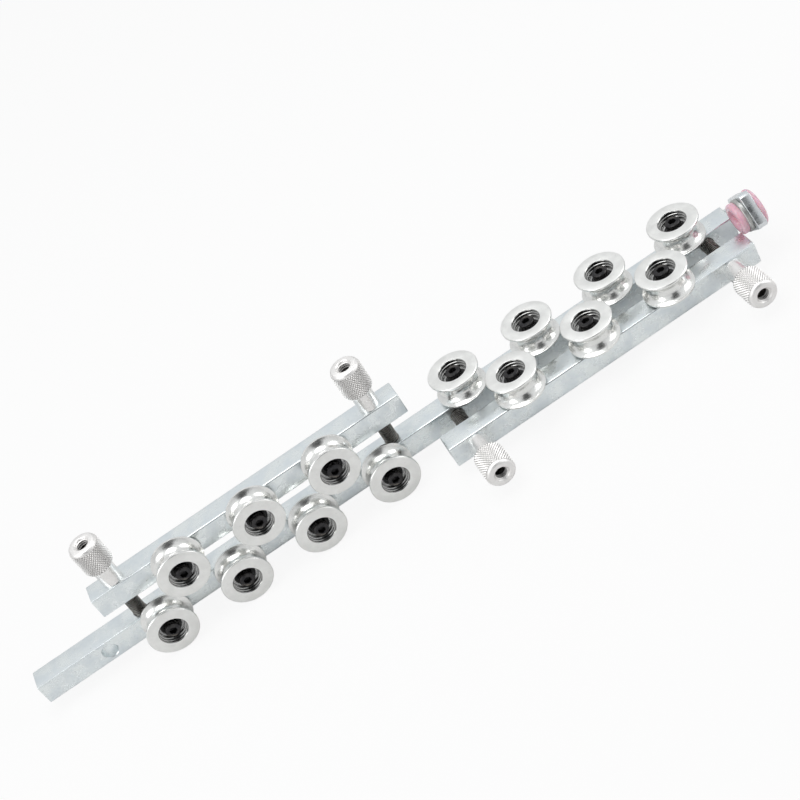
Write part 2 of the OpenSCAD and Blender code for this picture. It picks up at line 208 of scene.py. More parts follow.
def hex_tool(across, low, high):
    """A hexagon to cut a socket with."""
    put_down()
    corner_r = across / 2 / math.cos(math.pi / 6)
    bpy.ops.mesh.primitive_cylinder_add(vertices=6, radius=corner_r * mm, depth=(high - low) * mm,
                                        location=(0, 0, (low + high) / 2 * mm))
    return named("hex_tool")


LAID = {"X": Matrix.Rotation(math.pi / 2, 4, "Y"), "Y": Matrix.Rotation(-math.pi / 2, 4, "X"),
        "Z": Matrix.Identity(4)}


def drill(diameter, low, high, at, axis, mouth=0.2):
    """A drill with a countersink at both ends, laid along an axis: low and high are the bar's two faces."""
    r, wide, past = diameter / 2, diameter / 2 + mouth + 1, 1
    tool = turned("drill", [(0.0, low - past), (wide, low - past), (r, low + mouth),
                            (r, high - mouth), (wide, high + past), (0.0, high + past)], 48)
    weld(tool)
    tool.data.transform(Matrix.Translation(Vector(at) * mm) @ LAID[axis])
    return tool


def remember_place(piece):
    """Keeps each point's own place on the piece, so that turned marks follow its axis wherever a copy goes."""
    kept = piece.data.attributes.new("on_piece", "FLOAT_VECTOR", "POINT")
    kept.data.foreach_set("vector", [c for v in piece.data.vertices for c in v.co])


def copy_to(piece, name, place):
    """A copy with its own mesh, put in place."""
    pick(piece)
    bpy.ops.object.duplicate(linked=False)
    c = named(name)
    c.matrix_world = place
    settle()
    return c


def dress(piece, material):
    piece.data.materials.clear()
    piece.data.materials.append(material)
    return piece


def hand_over(piece, body, slot, *nodes):
    """The piece rides on its body and stands for its solids; slot is not used."""
    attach(piece, body)
    if nodes:
        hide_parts(*nodes)


# ------------------------------------------------------------- shader groups


def shader_group(name, inputs, outputs):
    g = bpy.data.node_groups.new(name, "ShaderNodeTree")
    for label, kind, value in inputs:
        s = g.interface.new_socket(name=label, in_out="INPUT", socket_type="NodeSocket" + kind)
        if value is not None:
            s.default_value = value
    for label, kind in outputs:
        g.interface.new_socket(name=label, in_out="OUTPUT", socket_type="NodeSocket" + kind)
    return g, g.nodes.new("NodeGroupInput"), g.nodes.new("NodeGroupOutput")


def add(tree, kind, links=(), **settings):
    """One node with its settings, and links as (input, output socket or value)."""
    n = tree.nodes.new("ShaderNode" + kind)
    for k, v in settings.items():
        setattr(n, k, v)
    for socket, source in links:
        if isinstance(source, bpy.types.NodeSocket):
            tree.links.new(source, n.inputs[socket])
        else:
            n.inputs[socket].default_value = source
    return n


def math_node(tree, operation, a, b=0.0, clamp=False):
    return add(tree, "Math", [(0, a), (1, b)], operation=operation, use_clamp=clamp).outputs[0]


def between(tree, value, low, high, to_low=0.0, to_high=1.0):
    """Maps low..high to to_low..to_high, smoothly and without going past."""
    ends = [("Value", value), ("From Min", low), ("From Max", high), ("To Min", to_low), ("To Max", to_high)]
    return add(tree, "MapRange", ends, interpolation_type="SMOOTHSTEP").outputs["Result"]


def noise(tree, vector, scale, detail=3.0, rough=0.55):
    settings = [("Vector", vector), ("Scale", scale), ("Detail", detail), ("Roughness", rough)]
    return add(tree, "TexNoise", settings).outputs["Fac"]


def make_patches():
    """Cloudy plating and handling marks: a slow patch, a fine grain and sparse specks."""
    g, i, o = shader_group("plating_patches",
                           [("Place", "Vector", None), ("Patch scale", "Float", 120.0),
                            ("Grain scale", "Float", 1800.0)],
                           [("Patch", "Float"), ("Grain", "Float"), ("Speck", "Float")])
    slow = noise(g, i.outputs["Place"], i.outputs["Patch scale"], 4.0, 0.6)
    fine = noise(g, i.outputs["Place"], i.outputs["Grain scale"], 2.0)
    dots = noise(g, i.outputs["Place"], math_node(g, "MULTIPLY", i.outputs["Patch scale"], 6.0), 2.0, 0.4)
    g.links.new(between(g, slow, 0.32, 0.68), o.inputs["Patch"])
    g.links.new(fine, o.inputs["Grain"])
    g.links.new(between(g, dots, 0.66, 0.74), o.inputs["Speck"])
    return g


def make_drawing_lines():
    """Fine lines left by the drawing die, along the bar."""
    g, i, o = shader_group("drawing_lines", [("Place", "Vector", None), ("Line scale", "Float", 900.0)],
                           [("Line", "Float"), ("Scratch", "Float")])
    thin = add(g, "VectorMath", [(0, i.outputs["Place"]), (1, (0.012, 1.0, 1.0))], operation="MULTIPLY").outputs[0]
    line = noise(g, thin, i.outputs["Line scale"], 3.0, 0.6)
    slant = [("Vector", i.outputs["Place"]), ("Axis", (0.3, 1, 0.5)), ("Angle", 0.35)]
    slant = add(g, "VectorRotate", slant).outputs[0]
    long = add(g, "VectorMath", [(0, slant), (1, (0.02, 1.0, 1.0))], operation="MULTIPLY").outputs[0]
    g.links.new(line, o.inputs["Line"])
    g.links.new(between(g, noise(g, long, 420.0, 2.0), 0.70, 0.76), o.inputs["Scratch"])
    return g


def make_bar_edges():
    """Worn long edges of a square bar that runs along X: 1 on the edges, broken up by noise."""
    g, i, o = shader_group("bar_edges",
                           [("Place", "Vector", None), ("Half width", "Float", 0.005), ("Wear", "Float", 0.0005)],
                           [("Edge", "Float")])
    p = add(g, "SeparateXYZ", [("Vector", i.outputs["Place"])])
    low = math_node(g, "MINIMUM", math_node(g, "ABSOLUTE", p.outputs["Y"]), math_node(g, "ABSOLUTE", p.outputs["Z"]))
    ragged = math_node(g, "SUBTRACT", noise(g, i.outputs["Place"], 700.0, 3.0), 0.5)
    ragged = math_node(g, "MULTIPLY", ragged, i.outputs["Wear"])
    near = math_node(g, "ADD", low, ragged)
    start = math_node(g, "SUBTRACT", i.outputs["Half width"], i.outputs["Wear"])
    g.links.new(between(g, near, start, i.outputs["Half width"]), o.inputs["Edge"])
    return g


def make_turning_rings():
    """Marks of the lathe: fine rings about the piece's own axis, and its radius and height for other masks."""
    g, i, o = shader_group("turning_rings", [("Place", "Vector", None), ("Rings per metre", "Float", 9000.0)],
                           [("Ring", "Float"), ("Radius", "Float"), ("Height", "Float")])
    p = add(g, "SeparateXYZ", [("Vector", i.outputs["Place"])])
    flat = add(g, "CombineXYZ", [("X", p.outputs["X"]), ("Y", p.outputs["Y"])])
    radius = add(g, "VectorMath", [(0, flat.outputs[0])], operation="LENGTH").outputs["Value"]
    along = math_node(g, "ADD", radius, p.outputs["Z"])
    wave = math_node(g, "MULTIPLY", along, i.outputs["Rings per metre"])
    ring = add(g, "TexNoise", [("W", wave), ("Scale", 1.0), ("Detail", 3.0)], noise_dimensions="1D").outputs["Fac"]
    g.links.new(ring, o.inputs["Ring"])
    g.links.new(radius, o.inputs["Radius"])
    g.links.new(p.outputs["Z"], o.inputs["Height"])
    return g


PATCHES = make_patches()
LINES = make_drawing_lines()
BAR_EDGES = make_bar_edges()
RINGS = make_turning_rings()


def use(tree, group, links):
    return add(tree, "Group", links, node_tree=group).outputs


def finish_for(name, metallic, rough, **plain):
    """A material with its Principled shader; returns the tree and the shader."""
    m = bpy.data.materials.new(name)
    m.use_nodes = True
    t = m.node_tree
    b = t.nodes["Principled BSDF"]
    b.inputs["Metallic"].default_value = metallic
    b.inputs["Roughness"].default_value = rough
    for k, v in plain.items():
        b.inputs[k.replace("_", " ")].default_value = v
    return m, t, b


def blend_colour(tree, mask, a, b):
    n = add(tree, "Mix", data_type="RGBA")
    for socket, source in ((n.inputs[0], mask), (n.inputs[6], a), (n.inputs[7], b)):
        if isinstance(source, bpy.types.NodeSocket):
            tree.links.new(source, socket)
        else:
            socket.default_value = source if isinstance(source, float) else (*source, 1.0)
    return n.outputs[2]


def bump(tree, shader, height, strength, depth):
    n = add(tree, "Bump", [("Height", height), ("Strength", strength), ("Distance", depth)])
    tree.links.new(n.outputs[0], shader.inputs["Normal"])


# ------------------------------------------------------------------ finishes


def object_place(tree):
    return add(tree, "TexCoord").outputs["Object"]


def place_on_piece(tree):
    """The place that remember_place kept: it turns with the piece's own axis."""
    return add(tree, "Attribute", attribute_name="on_piece").outputs["Vector"]


def zinc_bar(name, centre):
    """Bright zinc plating on a drawn square bar about the centre, with lines along it and shinier edges."""
    m, t, b = finish_for(name, 1.0, 0.3)
    to_bar = ("Location", tuple(-c * mm for c in centre))
    place = add(t, "Mapping", [("Vector", object_place(t)), to_bar]).outputs[0]
    p = use(t, PATCHES, [("Place", place), ("Patch scale", 150.0), ("Grain scale", 2600.0)])
    d = use(t, LINES, [("Place", place), ("Line scale", 1400.0)])
    e = use(t, BAR_EDGES, [("Place", place), ("Half width", HALF * mm), ("Wear", 0.0006)])
    colour = blend_colour(t, p["Patch"], (0.74, 0.79, 0.815), (0.86, 0.90, 0.895))
    colour = blend_colour(t, math_node(t, "MULTIPLY", p["Speck"], 0.35), colour, (0.55, 0.58, 0.60))
    t.links.new(colour, b.inputs["Base Color"])
    r = math_node(t, "ADD", between(t, p["Patch"], 0.0, 1.0, 0.28, 0.19), math_node(t, "MULTIPLY", d["Line"], 0.12))
    r = math_node(t, "SUBTRACT", r, math_node(t, "MULTIPLY", e["Edge"], 0.15))
    t.links.new(math_node(t, "ADD", r, math_node(t, "MULTIPLY", d["Scratch"], 0.12)), b.inputs["Roughness"])
    height = math_node(t, "ADD", math_node(t, "MULTIPLY", d["Line"], 0.5), math_node(t, "MULTIPLY", p["Grain"], 0.3))
    height = math_node(t, "ADD", height, math_node(t, "MULTIPLY", p["Patch"], 0.5))
    height = math_node(t, "SUBTRACT", height, math_node(t, "MULTIPLY", d["Scratch"], 0.4))
    bump(t, b, height, 0.35, 0.00006)
    return m


def turned_metal(name, colour, shade, satin, polish, rings=9000.0, satin_zone=None, bore=0.0, valleys=None,
                 wave=1.5, recess=None):
    """Turned and plated steel, its colour between colour and shade. All places are in metres. satin_zone: heights past
    which the end faces are satin; bore: radius within which it is satin too; valleys: radii of a knurl's feet and
    points, and the two heights it lies between, where the valleys are darkened with painted shade; recess: radius
    within which the turned wall is darker, with painted shade, and shinier; wave: how much the patches stand in its
    relief."""
    m, t, b = finish_for(name, 1.0, satin)
    g = use(t, RINGS, [("Place", place_on_piece(t)), ("Rings per metre", rings)])
    p = use(t, PATCHES, [("Place", object_place(t)), ("Patch scale", 190.0), ("Grain scale", 3000.0)])
    col = blend_colour(t, p["Patch"], colour, shade)
    col = blend_colour(t, math_node(t, "MULTIPLY", p["Speck"], 0.3), col, tuple(0.7 * c for c in shade))
    # A knurl's valleys are painted darker: painted shade in the creases.
    if valleys:
        foot, point, low, high = valleys
        deep = between(t, g["Radius"], foot, point, 1.0, 0.0)
        above, below = between(t, g["Height"], low, low + 0.0001), between(t, g["Height"], high, high - 0.0001)
        zone = math_node(t, "MULTIPLY", above, below)
        col = blend_colour(t, math_node(t, "MULTIPLY", deep, zone), col, tuple(0.52 * c for c in colour))
    # The inside of a recess is painted darker: painted shade.
    if recess:
        inside = between(t, g["Radius"], recess, recess - 0.00005)
        col = blend_colour(t, inside, col, tuple(0.5 * c for c in colour))
    t.links.new(col, b.inputs["Base Color"])
    if satin_zone:
        low, high = satin_zone
        below, above = between(t, g["Height"], low, low - 0.00008), between(t, g["Height"], high, high + 0.00008)
        mask = math_node(t, "MAXIMUM", below, above)
        if bore:
            mask = math_node(t, "MAXIMUM", mask, between(t, g["Radius"], bore, bore - 0.00005))
        if recess:
            mask = math_node(t, "MULTIPLY", mask, math_node(t, "SUBTRACT", 1.0, inside))
        base = between(t, mask, 0.0, 1.0, polish, satin)
        if recess:
            base = math_node(t, "SUBTRACT", base, math_node(t, "MULTIPLY", inside, 0.12))
    else:
        base = between(t, p["Patch"], 0.0, 1.0, polish, satin)
    r = math_node(t, "ADD", base, math_node(t, "MULTIPLY", math_node(t, "SUBTRACT", g["Ring"], 0.5), 0.16))
    t.links.new(math_node(t, "ADD", r, math_node(t, "MULTIPLY", p["Patch"], 0.05)), b.inputs["Roughness"])
    height = math_node(t, "ADD", g["Ring"], math_node(t, "MULTIPLY", p["Grain"], 0.5))
    bump(t, b, math_node(t, "ADD", height, math_node(t, "MULTIPLY", p["Patch"], wave)), 0.3, 0.00002)
    return m


def black_oxide(name, crest=None):
    """Blackened, oiled steel, brownish where it is worn. crest: radius past which a thread's crests are bare."""
    m, t, b = finish_for(name, 0.85, 0.3)
    p = use(t, PATCHES, [("Place", object_place(t)), ("Patch scale", 420.0), ("Grain scale", 4200.0)])
    worn = between(t, add(t, "NewGeometry").outputs["Pointiness"], 0.52, 0.60)
    worn = math_node(t, "MULTIPLY", worn, between(t, p["Grain"], 0.3, 0.7))
    col = blend_colour(t, p["Patch"], (0.028, 0.028, 0.031), (0.052, 0.050, 0.050))
    col = blend_colour(t, math_node(t, "MULTIPLY", worn, 0.6), col, (0.30, 0.27, 0.23))
    if crest:
        g = use(t, RINGS, [("Place", place_on_piece(t))])
        bare = between(t, g["Radius"], crest - 0.00006, crest)
        bare = math_node(t, "MULTIPLY", bare, between(t, p["Grain"], 0.2, 0.6, 0.7, 1.0))
        # The stud's outer end is painted pale: painted light for the inside of the knob's hole.
        top = STUD_HIGH * mm
        bare = math_node(t, "MAXIMUM", bare, between(t, g["Height"], top - 0.0001, top - 0.00005))
        col = blend_colour(t, bare, col, (0.52, 0.50, 0.47))
    t.links.new(col, b.inputs["Base Color"])
    t.links.new(between(t, p["Patch"], 0.0, 1.0, 0.20, 0.32), b.inputs["Roughness"])
    bump(t, b, p["Grain"], 0.25, 0.00003)
    return m


def seal_rubber(name):
    m, t, b = finish_for(name, 0.0, 0.55, Specular_IOR_Level=0.4)
    g = use(t, RINGS, [("Place", place_on_piece(t)), ("Rings per metre", 5000.0)])
    p = use(t, PATCHES, [("Place", object_place(t)), ("Patch scale", 500.0), ("Grain scale", 3500.0)])
    t.links.new(blend_colour(t, p["Patch"], (0.022, 0.022, 0.024), (0.045, 0.045, 0.046)), b.inputs["Base Color"])
    t.links.new(between(t, p["Grain"], 0.2, 0.8, 0.28, 0.45), b.inputs["Roughness"])
    bump(t, b, math_node(t, "ADD", g["Ring"], p["Grain"]), 0.3, 0.00003)
    return m


def pink_ceramic(name):
    """Sintered and polished ceramic: a dense pink with a faint cloud and a soft gloss."""
    m, t, b = finish_for(name, 0.0, 0.22, Subsurface_Weight=0.15, Subsurface_Scale=0.002,
                         Coat_Weight=0.3, Coat_Roughness=0.12)
    p = use(t, PATCHES, [("Place", object_place(t)), ("Patch scale", 260.0), ("Grain scale", 5200.0)])
    col = blend_colour(t, p["Patch"], (0.93, 0.51, 0.62), (0.95, 0.61, 0.70))
    col = blend_colour(t, math_node(t, "MULTIPLY", p["Speck"], 0.25), col, (0.70, 0.36, 0.45))
    t.links.new(col, b.inputs["Base Color"])
    t.links.new(between(t, p["Grain"], 0.2, 0.8, 0.18, 0.30), b.inputs["Roughness"])
    bump(t, b, p["Grain"], 0.15, 0.00002)
    return m


# The rollers carry painted shade inside their recess.
ROLLER_STEEL = turned_metal("roller_steel", (0.81, 0.81, 0.79), (0.88, 0.88, 0.86), 0.38, 0.21,
                            satin_zone=(0.00625, 0.01635), recess=0.00612, wave=4.0)
# The knurl's valleys on the knobs carry painted shade.
KNOB_NICKEL = turned_metal("knob_nickel", (0.85, 0.835, 0.82), (0.91, 0.895, 0.88), 0.46, 0.26, rings=6000.0,
                           satin_zone=(-0.001, 0.0092), bore=0.0032, valleys=(0.00606, 0.0062, 0.0098, 0.0212))
RING_STEEL = turned_metal("bearing_steel", (0.66, 0.66, 0.67), (0.74, 0.74, 0.74), 0.22, 0.16)
SPACER_STEEL = turned_metal("spacer_steel", (0.36, 0.36, 0.37), (0.45, 0.45, 0.45), 0.42, 0.32)
FITTING_ZINC = turned_metal("fitting_zinc", (0.72, 0.76, 0.78), (0.82, 0.84, 0.85), 0.30, 0.18)
COLLAR_STEEL = turned_metal("collar_steel", (0.42, 0.42, 0.41), (0.55, 0.55, 0.53), 0.42, 0.32, rings=12000.0)
BLACK = black_oxide("black_oxide")
# Its outer end is painted pale, as painted light inside the knob's hole.
STUD_BLACK = black_oxide("stud_black", 0.00295)
RUBBER = seal_rubber("seal_rubber")
PINK = pink_ceramic("pink_ceramic")

# ------------------------------------------------------- where the pieces go


def stage_frame(stage):
    """A stage's own frame: x along the bar, y from the fixed to the moving row, z along the roller axes."""
    if stage == "exit":
        return Matrix.Translation((EXIT_X * mm, 0, 0)) @ Matrix.Rotation(math.pi / 2, 4, "X")
    return Matrix.Translation((ENTRY_X * mm, 0, 0)) @ Matrix.Rotation(math.pi, 4, "Z")


def roller_places():
    """(stage, row, number, place) of every roller, with its axis along the place's Z, from its bar's axis."""
    for stage in ("exit", "entry"):
        side = 1 if stage == "exit" else -1
        for row, count, y in (("fixed", 4, 0.0), ("slide", 3, ROWS)):
            for k in range(count):
                x = side * (k - (count - 1) / 2) * PITCH
                yield stage, row, k + 1, stage_frame(stage) @ Matrix.Translation((x * mm, y * mm, 0))


# -------------------------------------------------------------------- rollers


def make_roller():
    """Grooved spool: thin rims with a round groove between them, recess and bearing seat inside."""
    low, high, bevel, rim = PASS - ROLLER_W / 2, PASS + ROLLER_W / 2, 0.3, 1.0
    shoulder_r, seat_r, seat_top = 4.8, 5.5, BEARING_Z + BEARING_H
    swing = math.degrees(math.asin((ROLLER_W / 2 - rim) / GROOVE_R))
    wall = [(6.15, 0.0), (5.85, 0.3), (5.85, 0.95), (6.1, 1.1), (6.1, 1.35), (5.7, 1.5),
            (5.7, 2.3), (5.95, 2.45), (5.95, 2.7), (5.55, 2.85)]
    piece = turned("roller", [(shoulder_r, low), (ROLLER_R - bevel, low), (ROLLER_R, low + bevel)] +
                   arc(ROOT_R + GROOVE_R, PASS, GROOVE_R, 180 + swing, 180 - swing, 30) +
                   [(ROLLER_R, high - bevel), (ROLLER_R - bevel, high)] + [(r, high - deep) for r, deep in wall] +
                   [(5.55, seat_top), (seat_r, seat_top), (seat_r, BEARING_Z), (shoulder_r, BEARING_Z)], 96)
    soften(piece, 0.08, 2, 25)
    return smooth(piece, 40)


def make_ring():
    """Outer ring of the bearing, with rounded corners and a step for each seal."""
    z, top = BEARING_Z, BEARING_Z + BEARING_H
    piece = turned("ring", [(4.5, z), (5.3, z), (5.49, z + 0.2), (5.49, top - 0.2), (5.3, top), (4.5, top),
                            (4.5, top - 0.25), (4.65, top - 0.4), (4.65, z + 0.4), (4.5, z + 0.25)], 72)
    return smooth(piece, 30)


def make_seals():
    """The two rubber seals: an outer bead, a dished web and a lip towards the inner ring."""
    middle, both = BEARING_Z + BEARING_H / 2, []
    rim = [(4.49, 1.40), (4.49, 1.74), (4.4, 1.80), (4.25, 1.74), (4.15, 1.62), (3.75, 1.60), (3.6, 1.72),
           (3.35, 1.74), (3.2, 1.62), (3.04, 1.66), (3.04, 1.42), (3.3, 1.36), (4.3, 1.34)]
    for k, side in enumerate((1, -1)):
        both.append(turned("seal_%d" % k, [(r, middle + side * h) for r, h in rim], 72))
    piece = join("seals", *both)
    weld(piece)
    return smooth(piece, 60)


def fluted(name, radius, depth, flutes, low, high):
    """A head with straight flutes: every other point of its rim stands proud, then it is drawn up and narrowed."""
    taper_h, taper = 0.3, 0.45
    put_down()
    bpy.ops.mesh.primitive_circle_add(vertices=2 * flutes, radius=(radius - depth) * mm, fill_type="NGON",
                                      location=(0, 0, low * mm))
    piece = named(name)
    settle()
    select_points(piece, lambda v: v.index % 2 == 0)
    proud = radius / (radius - depth)
    bpy.ops.transform.resize(value=(proud, proud, 1))
    bpy.ops.mesh.select_all(action="SELECT")
    draw_on(0, 0, high - low)
    draw_on(0, 0, taper_h)
    narrow = (radius - taper) / radius
    bpy.ops.transform.resize(value=(narrow, narrow, 1))
    close_up()
    return piece


def thread(name, root, crest, lead, low, high, steps=28):
    """A screw thread as one closed ridge wound up the shank; its foot lies inside the shank."""
    put_down()
    turns = int((high - low) / lead) - 1
    middle_r, middle_z = (root + crest) / 2 * mm, (low + lead / 2) * mm
    bpy.ops.mesh.primitive_plane_add(size=1 * mm, location=(middle_r, 0, middle_z), rotation=(math.pi / 2, 0, 0))
    piece = named(name)
    settle()
    foot = root - 0.25
    corners = {(False, False): (foot, 0.03), (True, False): (crest, 0.44),
               (True, True): (crest, 0.56), (False, True): (foot, 0.97)}
    for v in piece.data.vertices:
        r, h = corners[(v.co.x > middle_r, v.co.z > middle_z)]
        v.co = (r * mm, 0, (low + h * lead) * mm)
    bpy.ops.object.mode_set(mode="EDIT")
    bpy.ops.mesh.select_all(action="SELECT")
    bpy.ops.mesh.delete(type="ONLY_FACE")
    bpy.ops.object.mode_set(mode="OBJECT")
    finish_with(piece, "SCREW", angle=2 * math.pi, screw_offset=lead * mm, iterations=turns, steps=steps,
                render_steps=steps, axis="Z", use_smooth_shade=False, use_merge_vertices=False)
    bpy.ops.object.mode_set(mode="EDIT")
    bpy.ops.mesh.select_all(action="SELECT")
    bpy.ops.mesh.remove_doubles(threshold=1e-6)
    bpy.ops.mesh.fill_holes(sides=6)
    close_up()
    return piece


def make_cap_screw():
    """Cap screw: fluted head, hexagon socket, washer face and a threaded shank with a chamfered end."""
    head = fluted("head", 3.25, 0.12, 36, HEAD_Z + 0.25, HEAD_Z + 3.7)
    low, high = HEAD_Z + 0.01, HEAD_Z + 0.3
    face = turned("washer_face", [(0.0, low), (3.1, low), (3.15, high), (0.0, high)], 48)
    weld(face)
    cut(head, hex_tool(SOCKET, HEAD_Z + 1.8, HEAD_Z + 5))
    soften(head, 0.1, 2, 50)
    end, plain = HEAD_Z - SCREW_LEN, 4.2
    shank = turned("shank", [(0.0, end), (1.3, end), (SCREW_ROOT, end + 0.5), (SCREW_ROOT, plain),
                             (SCREW_CREST, plain + 0.4), (SCREW_CREST, HEAD_Z + 0.2), (0.0, HEAD_Z + 0.2)], 40)
    weld(shank)
    ridge = thread("shank_thread", SCREW_ROOT, SCREW_CREST, 0.7, end + 0.6, plain + 0.2, 20)
    return smooth(join("cap_screw", head, face, shank, ridge), 30)


# ---------------------------------------------------------- studs and knobs


def make_stud():
    """Set screw as an adjusting stud, along Z: M6 thread over its length and a socket at the outer end."""
    low, high, end_r = STUD_LOW, STUD_HIGH, 2.2
    core = turned("stud_core", [(0.0, low), (end_r, low), (STUD_ROOT, low + 0.4), (STUD_ROOT, high - 0.4),
                                (end_r, high), (0.0, high)], 40)
    weld(core)
    cut(core, hex_tool(SOCKET, high - 3, high + 1))
    ridge = thread("stud_thread", STUD_ROOT, STUD_CREST, 1.0, low + 0.2, high - 0.2, 32)
    return smooth(join("stud", core, ridge), 25)


def make_knurl(core, peak, low, high, around):
    """Diamond knurl: rings are drawn up one by one, and every other point of each is pushed out. The diamonds are
    longer along the knob than round it, as wheels with teeth at 30 degrees leave them."""
    put_down()
    rows = 2 * round((high - low) / (1.4 * math.pi * core / around) / 2)
    step = (high - low) / rows
    bpy.ops.mesh.primitive_circle_add(vertices=2 * around, radius=core * mm, fill_type="NOTHING",
                                      location=(0, 0, low * mm))
    piece = named("knurl")
    settle()
    bpy.ops.object.mode_set(mode="EDIT")
    bpy.ops.mesh.select_mode(type="VERT")
    bpy.ops.mesh.select_all(action="SELECT")
    for _ in range(rows):
        draw_on(0, 0, step)
    bpy.ops.mesh.select_all(action="DESELECT")
    bpy.ops.object.mode_set(mode="OBJECT")

    def is_peak(v):
        ring = round((v.co.z / mm - low) / step)
        spot = round(math.atan2(v.co.y, v.co.x) / (math.pi / around))
        return 0 < ring < rows and (ring + spot) % 2 == 0

    select_points(piece, is_peak)
    proud = peak / core
    bpy.ops.transform.resize(value=(proud, proud, 1))
    bpy.ops.mesh.select_all(action="SELECT")
    bpy.ops.mesh.quads_convert_to_tris(quad_method="SHORTEST_DIAGONAL", ngon_method="BEAUTY")
    bpy.ops.object.mode_set(mode="OBJECT")
    inner = core - 0.6
    for at in (low, high):
        select_rims(piece, lambda v: abs(v.co.z / mm - at) < 1e-3)
        draw_on(0, 0, 0)
        bpy.ops.transform.resize(value=(inner / core, inner / core, 1))
        bpy.ops.mesh.select_all(action="DESELECT")
        bpy.ops.object.mode_set(mode="OBJECT")
    select_rims(piece, lambda v: math.hypot(v.co.x, v.co.y) < (inner + 0.1) * mm)
    bpy.ops.mesh.bridge_edge_loops()
    close_up()
    return piece


def make_knob():
    """Knurled nut along Z from the bar's face: smooth shoulder, knurled head, bevelled smooth end with its hole."""
    end, knurl_high = KNOB_END, KNOB_END - 1.35
    stud_r, hole_r, ridge_r, stud_end = 3.07, 2.9, 2.5, 18.5
    ridges = [(r, z + dz) for z in (21.5, 20.5, 19.5)
              for r, dz in ((hole_r, 0.4), (ridge_r, 0.1), (ridge_r, -0.1), (hole_r, -0.4))]
    body = turned("knob_body", [
        (stud_r, 0.0), (4.2, 0.0), (4.4, 0.2), (4.4, 9.0), (5.45, 9.0), (6.0, 9.55), (6.08, KNURL_LOW),
        (6.08, knurl_high), (6.0, end - 1.0), (5.75, end - 0.55), (5.3, end - 0.12), (5.0, end), (3.45, end),
        (3.25, end - 0.12), (hole_r, end - 0.6)] + ridges + [(hole_r, stud_end + 0.1), (stud_r, stud_end)], 80)
    smooth(body, 28)
    knurl = make_knurl(6.05, 6.49, KNURL_LOW, knurl_high, 36)
    return join("knob", body, knurl)


# ----------------------------------------------------------------------- bars


def bar_blank(name, x0, x1, y, z):
    put_down()
    bpy.ops.mesh.primitive_cube_add(size=1, location=((x0 + x1) / 2 * mm, y * mm, z * mm),
                                    scale=((x1 - x0) * mm, BAR * mm, BAR * mm))
    piece = named(name)
    settle()
    return soften(piece, 0.5, 3, 60)


def make_fixed_bar():
    bar = bar_blank("fixed_bar_plated", TAIL, NOSE, 0, 0)
    holes = [drill(TAIL_HOLE, -HALF, HALF, (0, 0, 0), "Y", 0.25)]
    for k in range(4):
        for mid, axis in ((EXIT_X, "Y"), (ENTRY_X, "Z")):
            holes.append(drill(SCREW_TAP, -HALF, HALF, (mid + (k - 1.5) * PITCH, 0, 0), axis))
    for s in (-1, 1):
        for mid, axis in ((EXIT_X, "Z"), (ENTRY_X, "Y")):
            holes.append(drill(STUD_TAP, -HALF, HALF, (mid + s * STUD_X, 0, 0), axis))
    holes.append(drill(SCREW_TAP, -9, 0, (NOSE, 0, 0), "X", 0.0))
    cut(bar, *holes)
    return smooth(bar, 30)


def make_moving_bar(name, stage):
    mid = EXIT_X if stage == "exit" else ENTRY_X
    y, z = (0, ROWS) if stage == "exit" else (-ROWS, 0)
    bar = bar_blank(name, mid - HALF_SLIDE, mid + HALF_SLIDE, y, z)
    across, along = ("Y", "Z") if stage == "exit" else ("Z", "Y")
    holes = [drill(SCREW_TAP, -HALF, HALF, (mid + k * PITCH, y, z), across) for k in (-1, 0, 1)]
    holes += [drill(SLIDE_HOLE, -HALF, HALF, (mid + s * STUD_X, y, z), along) for s in (-1, 1)]
    cut(bar, *holes)
    return smooth(bar, 30)


# --------------------------------------------------------------------- eyelet


def eyelet_frame(x):
    return Matrix.Translation((x * mm, EYE_Y * mm, EYE_Z * mm)) @ Matrix.Rotation(math.pi / 2, 4, "Y")


QUARTER = [math.radians(a) for a in range(0, 91, 9)]
TRUMPET = 1.8                          # how far a trumpet mouth opens beyond the throat
BARREL_IN = 2.1                        # how far each barrel goes into the bracket


def make_bell():
    """Ceramic bell: trumpet throat, crisp lip, straight outside, barrel through the collar into the bracket."""
    length, end = BELL_LEN, BELL_LEN + COLLAR_T + BARREL_IN
    inside = [(THROAT_R + TRUMPET * (1 - math.cos(a)), length * (1 - math.sin(a))) for a in QUARTER]
    outside = [(5.6 + 1.2 * math.sin(a), 0.1 + 0.84 * (1 - math.cos(a))) for a in QUARTER]
    barrel = [(6.8, length - 0.2), (6.6, length), (BARREL_R, length), (BARREL_R, end), (THROAT_R, end)]
    piece = turned("bell", inside + outside + barrel, 72)
    return smooth(piece, 45)


def make_flange():
    """Ceramic flange on the far side of the bracket, domed, with its own trumpet."""
    barrel = [(THROAT_R, -BARREL_IN), (BARREL_R, -BARREL_IN), (BARREL_R, 0.0), (8.0, 0.0), (8.2, 0.2)]
    dome = [(5.6 + 2.6 * math.cos(a), 0.6 + 1.75 * math.sin(a)) for a in QUARTER]
    throat = [(THROAT_R + TRUMPET * (1 - math.cos(a)), FLANGE_T * math.sin(a)) for a in reversed(QUARTER[:-1])]
    piece = turned("flange", barrel + dome + [(THROAT_R + TRUMPET, FLANGE_T)] + throat, 72)
    return smooth(piece, 45)


def make_collar():
    """Turned collar between the bell and the bracket, bevelled on both edges."""
    piece = turned("collar", [(EYE_HOLE_R, 0.0), (6.95, 0.0), (7.3, 0.35), (7.3, 1.5), (6.95, COLLAR_T),
                              (EYE_HOLE_R, COLLAR_T)], 72)
    return smooth(piece, 25)


